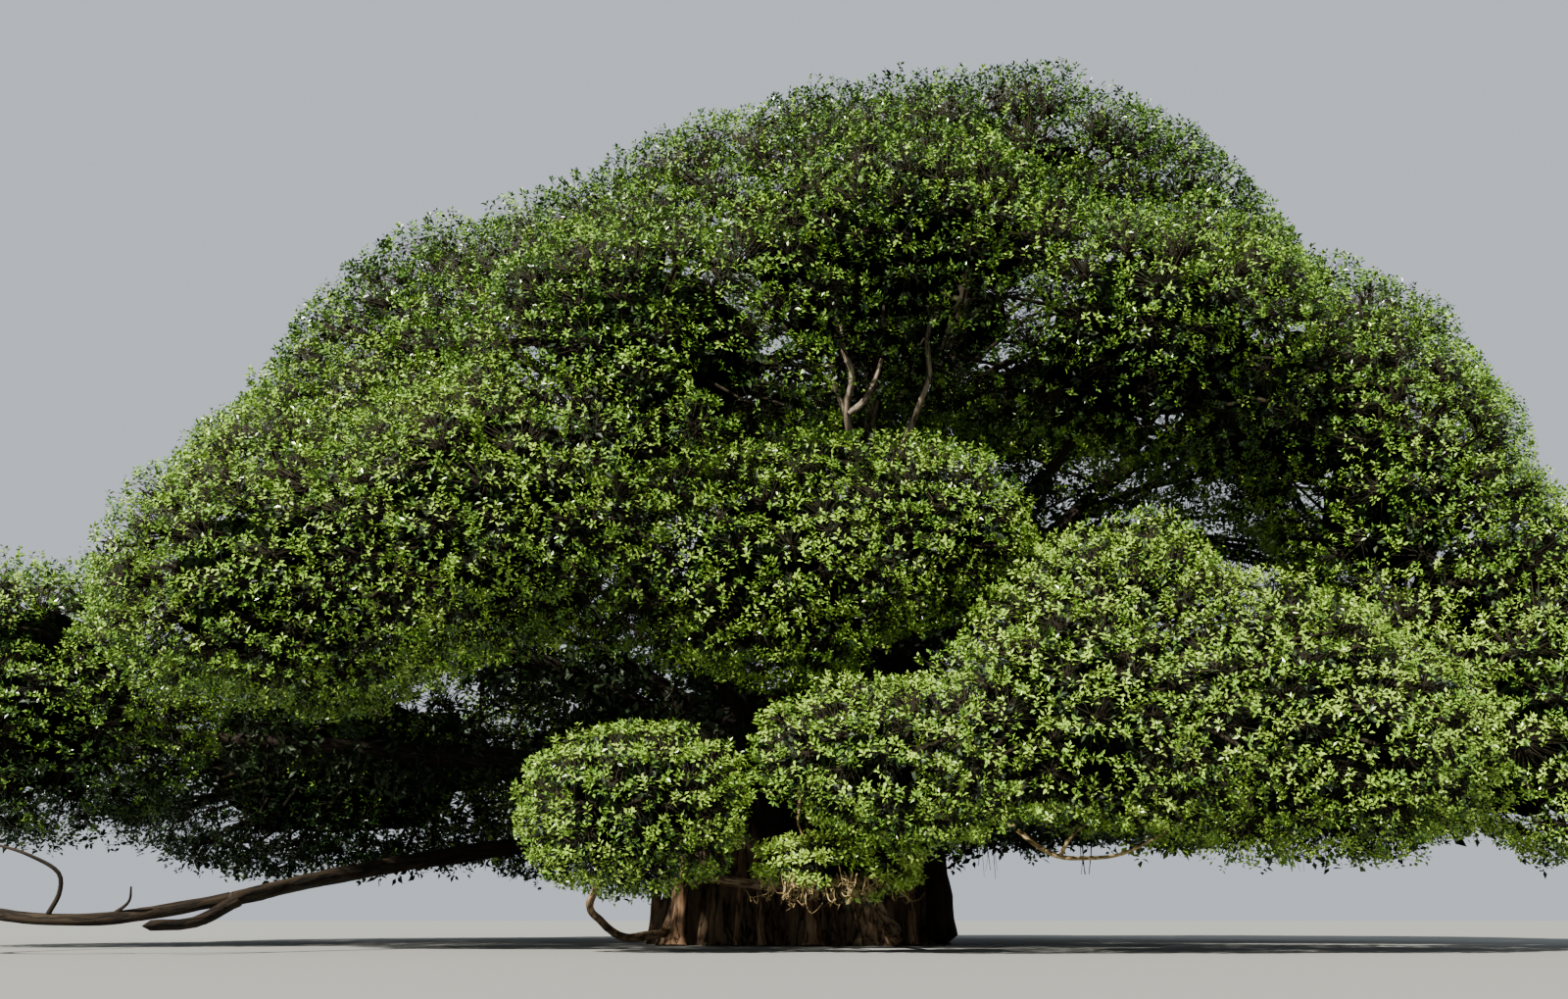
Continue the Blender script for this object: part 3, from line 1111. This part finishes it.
# Twigs from the boughs, by length: each starts at a place along a bough and ends away from it in any
# direction, a little less far towards the bough's tip.
def limbSprays():
    starts, ends = [], []
    whole = sum(lineLength(limbLines[name]) for name in boughs)
    for name in boughs:
        line = limbLines[name]
        count = int(limbLeaves["sprays"] * lineLength(line) / whole)
        along = (random.uniform(limbLeaves["from"], 1, count) * (len(line) - 1)).astype(int)
        out = unit(random.normal(0, 1, (count, 3)) * (1, 1, 0.75) - 0.25 * up)
        away = random.uniform(*limbLeaves["away"], (count, 1)) * np.linspace(1.1, 0.8, len(line))[along, None]
        starts.append(line[along])
        ends.append(line[along] + out * away)
    starts, ends = np.vstack(starts), np.vstack(ends)
    kept = clearOfLimbs(ends, limbLeaves["room"]) & (ends[:, 2] > browseLine + limbLeaves["over"])
    return starts[kept], ends[kept]


limbStarts, limbEnds = limbSprays()


# A curve from a to c that leaves towards b: (1-t)² a + 2 (1-t) t b + t² c.
def bentLine(a, b, c, t):
    return (1 - t) ** 2 * a + 2 * (1 - t) * t * b + t ** 2 * c


# Each stem curves from its bough's tip to the middle of its mass.
stemLines = {}
for name, (start, girth, heading) in stemStart.items():
    end = massAt[massIndex[name]]
    bend = start + heading * 0.45 * np.linalg.norm(end - start)
    stemLines[name] = bentLine(start, bend, end, np.linspace(0, 1, 14)[:, None])

# Branchlets: from a place along the stem to the foot of each clump, in a rising curve.
starts = np.empty_like(at)
share = random.uniform(0.35, 1.0, len(at))
for mass, name in enumerate(massNames):
    own = owner == mass
    line = stemLines[name]
    where = share[own] * (len(line) - 1)
    low = np.minimum(where.astype(int), len(line) - 2)
    starts[own] = line[low] + (line[low + 1] - line[low]) * (where - low)[:, None]
foot = at - way * size[:, None] * 0.35
reach = np.linalg.norm(foot - starts, axis=1)
bend = (starts + foot) / 2 + up * (0.16 * reach)[:, None] + random.normal(0, 0.10, at.shape) * reach[:, None]
branchT = np.linspace(0, 1, 4)[None, :, None]
branchLines = bentLine(starts[:, None], bend[:, None], foot[:, None], branchT)

# Dark sprays along the branchlets too, each on a short twig.
count = limbLeaves["branchSprays"]
chosen = random.integers(0, len(at), count)
share = random.uniform(*limbLeaves["branchFrom"], (count, 1)) * 3
low = np.minimum(share[:, 0].astype(int), 2)
lower, upper = branchLines[chosen, low], branchLines[chosen, low + 1]
twigStarts = lower + (upper - lower) * (share - low[:, None])
out = unit(random.normal(0, 1, (count, 3)) * (1, 1, 0.6))
twigEnds = twigStarts + out * random.uniform(*limbLeaves["branchAway"], (count, 1))
above = twigEnds[:, 2] > massLow[owner[chosen]] + limbLeaves["branchOver"]
kept = clearOfLimbs(twigEnds, limbLeaves["room"]) & above
limbStarts, limbEnds = np.vstack([limbStarts, twigStarts[kept]]), np.vstack([limbEnds, twigEnds[kept]])
nearest = np.array([np.argmin(np.linalg.norm(at - end, axis=1)) for end in limbEnds])
onLimbs = (limbEnds, unit(limbEnds - limbStarts), nearest)
shady = [np.concatenate(parts) for parts in zip(under, onLimbs)]
half = random.permutation(len(shady[0]))
for place, (name, colour) in enumerate(underColours.items()):
    chosen = half[place::2]
    addLeaves(name, colour, [part[chosen] for part in shady], layers["under"])


# Shade in the heart of each mass.

shade = {
    "rows": 14, "columns": 28, "share": 0.52, "fullReach": 3, "uneven": 0.2, "colour": (0.0015, 0.003, 0.001),
}


# A closed ball over bearing and height, drawn out to a share of the way to the edge of its mass.
def shadeOf(mass):
    rows, columns = shade["rows"], shade["columns"]
    tilt = np.linspace(0, math.pi, rows)[:, None]
    ring = np.sin(tilt) * np.ones(columns)
    ways = ringPoints(ring, ringAngles(columns), np.cos(tilt)).reshape(-1, 3)
    lumps = smoothNoise(ways * 3.1 + mass, 31) + 0.5 * smoothNoise(ways * 9 + mass, 32)
    share = shade["share"] * min(1, massReach[mass].mean() / shade["fullReach"])
    far = reachOf(mass, ways) * share * (1 + shade["uneven"] * lumps)
    quads = ringQuads(np.arange(rows * columns).reshape(rows, columns))[:, [0, 3, 2, 1]]
    return massAt[mass] + ways * far[:, None], quads, ways


corners, faces, _ = joined([shadeOf(mass) for mass in range(len(massNames))])
shadeLook = leafMaterial("innerShade", shade["colour"], 0.9, 1.0, 0.0)
treePiece("inner_shade", (corners, faces), shadeLook, smooth=False)


# Branchlets and twigs.

# Stems and branchlets thin as they go.
groups = []
for name, line in stemLines.items():
    radius = np.linspace(stemStart[name][1] * 0.85, 0.06, len(line))
    groups.append(carriedProfile(line[None], radius[None], 12))
radius = (0.030 + 0.010 * reach)[:, None] * np.linspace(1, 0.5, 4)[None]
groups.append(carriedProfile(branchLines, radius, 4))
treePiece("branchlets", joined(groups), barkMaterials["twigBark"])


# Twigs: a three-sided cone from the foot of a clump to each of its sprays.
def twigCones(starts, ends, girth):
    first, second = squareTo(unit(ends - starts))
    angle = ringAngles(3)
    ring = first[:, None] * np.cos(angle)[None, :, None] + second[:, None] * np.sin(angle)[None, :, None]
    corners = np.concatenate([starts[:, None] + girth * ring, ends[:, None]], axis=1)
    run = np.linalg.norm(ends - starts, axis=1)
    grain = np.zeros(corners.shape)
    grain[:, :3, :2] = girth * np.stack([np.cos(angle), np.sin(angle)], -1)
    grain[:, 3, 2] = run
    place = np.arange(len(starts))[:, None, None] * 4
    faces = place + np.array([[0, 1, 3], [1, 2, 3], [2, 0, 3]])
    return corners.reshape(-1, 3), faces.reshape(-1, 3), grain.reshape(-1, 3)


# The outer sprays' twigs are one piece, those of the sprays further in another.
ends = np.vstack([points, under[0], limbEnds])
carrier = np.concatenate([clump, under[2]])
starts = np.vstack([foot[carrier] + random.normal(0, 0.05, (len(carrier), 3)), limbStarts])
outermost = np.arange(len(ends)) < len(points)
for name, own in (("twigs", outermost), ("inner_twigs", ~outermost)):
    treePiece(name, twigCones(starts[own], ends[own], 0.018), barkMaterials["twigBark"])
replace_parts(leafPieces[0], *[f"foliage_{name}" for name in massNames])


# Hanging roots and bare twigs.
hanging = {
    "from": ("bough_far_left", "bough_left", "bough_left_front", "bough_mid_front", "bough_right_low",
             "bough_far_right_low", "bough_back_low_left", "bough_back_low_right", "bough_front_upper",
             "bough_top_right", "bough_right_far"),
    "groups": 4, "roots": 4, "length": (0.5, 2.6), "radius": (0.012, 0.032), "steps": 9,
}


# Smooth noise along a line of steps t, one column for each side.
def wavesAlong(t, pace, seed, sides, noiseSeed):
    places = [np.stack([t * pace, t * 0 + seed, t * 0 + side], -1) for side in sides]
    return np.stack([smoothNoise(place, noiseSeed) for place in places], -1)


# A root hangs straight down from its bough, swaying a little more towards its end.
def hangingRoot(start, length, radius, seed):
    t = np.linspace(0, 1, hanging["steps"])
    sway = 0.10 * t[:, None] * wavesAlong(t, 3, seed, (0, 7), 51)
    line = np.array(start) + np.stack([sway[:, 0], sway[:, 1], -length * t], -1)
    return carriedProfile(line[None], (radius * (1 - 0.75 * t))[None], 5)


groups = []
for name in hanging["from"]:
    line = limbLines[name]
    for place in random.uniform(0.3, 0.9, hanging["groups"]):
        for root in range(random.integers(2, hanging["roots"] + 1)):
            start = line[int(place * (len(line) - 1))] + random.normal(0, 0.12, 3) * (1, 1, 0)
            length = min(random.uniform(*hanging["length"]), start[2] - 1.5)
            groups.append(hangingRoot(start, length, random.uniform(*hanging["radius"]), len(groups) * 3.1))
treePiece("hanging_roots", joined(groups), barkMaterials["boughBark"])

# Thin bare limbs under the edge of the crown, and twigs that curl up from the low left arm: the radius
# at the start, and the points each runs through.
bareLimbs = {
    "edge": (0.055, ((3.5, -10.3, 2.3), (4.34, -11.0, 1.61), (4.86, -11.2, 1.56), (5.4, -11.3, 1.62),
                     (6.2, -11.3, 2.0))),
    "edgeFork": (0.04, ((4.42, -11.02, 1.6), (4.55, -11.1, 1.85), (4.9, -11.2, 2.2))),
}
armTwigs = {
    "curl": (0.045, ((-12.3, -12.0, 0.62), (-12.1, -12.1, 0.98), (-12.1, -12.2, 1.28), (-12.6, -12.3, 1.58),
                     (-13.4, -12.2, 1.8))),
    "stub": (0.038, ((-11.4, -11.6, 0.62), (-11.1, -11.7, 0.85), (-11.05, -11.8, 1.08))),
}
# Bare twigs hang under the lowest mass, dip and curl up again; one pale root hangs above it.
tangle = {"mass": "low_front", "twigs": 84, "forks": 2, "radius": 0.014}


# A twig whose height is 4 x dip x t (t - 1) + rise x t², with smooth noise.
def curl(start, over, dip, rise, radius, seed):
    t = np.linspace(0, 1, 11)
    wave = wavesAlong(t, 4, seed, (0, 5, 9), 61)
    line = np.array(start) + np.outer(t, over) + np.outer(4 * dip * t * (t - 1) + rise * t ** 2, up)
    line = line + 0.06 * np.minimum(1, 3 * t)[:, None] * wave
    return line, carriedProfile(line[None], (radius * (1 - 0.65 * t))[None], 5)


# A thin limb narrows evenly to a share of its girth.
def thinLimb(radius, through, tip=0.4, sides=7):
    line = resampled(lineThrough(through), thinSteps)
    return carriedProfile(line[None], np.linspace(radius, tip * radius, thinSteps)[None], sides)


groups = [thinLimb(*limb, tip=0.45, sides=9) for limb in hollowForks.values()]
treePiece("hollow_forks", joined(groups), barkMaterials["frontBark"])
groups = [thinLimb(*limb) for limb in armTwigs.values()]
treePiece("arm_twigs", joined(groups), barkMaterials["lowBark"])

groups = [hangingRoot((0.0, -11.2, 2.75), 0.85, 0.05, 2.0)]
groups += [thinLimb(*limb) for limb in bareLimbs.values()]
tangleAt, tangleReach = massAt[massIndex[tangle["mass"]]], massReach[massIndex[tangle["mass"]]]
for twig in range(tangle["twigs"]):
    bearing = random.uniform(0, 2 * math.pi)
    out = np.array([math.cos(bearing), math.sin(bearing), 0])
    start = tangleAt + out * tangleReach * random.uniform(0.05, 0.62) - up * random.uniform(0.15, 0.55)
    over = out * random.uniform(0.05, 0.3) + random.normal(0, 0.16, 3) * (1, 1, 0)
    dip, rise = random.uniform(0.08, 0.24), random.uniform(-0.16, 0.14)
    line, group = curl(start, over, dip, rise, tangle["radius"], twig * 2.3)
    groups.append(group)
    for fork in range(tangle["forks"]):
        place = line[random.integers(3, 9)]
        over = random.normal(0, 0.11, 3) * (1, 1, 0)
        rise, dip = random.uniform(-0.08, 0.12), random.uniform(0, 0.1)
        groups.append(curl(place, over, dip, rise, 0.6 * tangle["radius"], twig + fork * 9.7)[1])
treePiece("bare_twigs", joined(groups), barkMaterials["rootBark"])


# Floor, light and camera.

floorSize, floorDrop = 900.0, 0.002
floorPaint, _, shader = newMaterial("floorPaint")
shader.inputs["Base Color"].default_value = (0.15, 0.155, 0.145, 1)
shader.inputs["Roughness"].default_value = 0.95
corners = np.array([[-1, -1, 0], [1, -1, 0], [1, 1, 0], [-1, 1, 0]]) * floorSize - [0, 0, floorDrop]
newMesh("floor", corners, [[0, 1, 2, 3]], floorPaint, smooth=False)

lights = {
    "sun": {"strength": 18.0, "angle": 1.2, "colour": (1.0, 0.95, 0.85), "from": (-0.44, -0.68, 0.66)},
    "sky": {"strength": 0.72, "colour": (0.84, 0.91, 1.0)},
}
lamp = bpy.data.lights.new("sun", "SUN")
lamp.energy = lights["sun"]["strength"]
lamp.angle = math.radians(lights["sun"]["angle"])
lamp.color = lights["sun"]["colour"]
sun = bpy.data.objects.new("sun", lamp)
bpy.context.scene.collection.objects.link(sun)
sun.rotation_euler = Vector(lights["sun"]["from"]).to_track_quat("Z", "Y").to_euler()

world = bpy.data.worlds.new("sky")
bpy.context.scene.world = world
world.use_nodes = True
world.node_tree.nodes["Background"].inputs["Color"].default_value = (*lights["sky"]["colour"], 1)
world.node_tree.nodes["Background"].inputs["Strength"].default_value = lights["sky"]["strength"]

view = {"lens": 39.375, "at": (-0.28, -40.8, 0.55), "tilt": 13.76}
camera = bpy.data.cameras.new("camera")
camera.lens = view["lens"]
camera.sensor_width = 36
camera.clip_end = 3000
eye = bpy.data.objects.new("camera", camera)
eye.location = view["at"]
eye.rotation_euler = (math.radians(90 + view["tilt"]), 0, 0)
bpy.context.scene.collection.objects.link(eye)
bpy.context.scene.camera = eye

bpy.context.view_layer.update()
report("done")
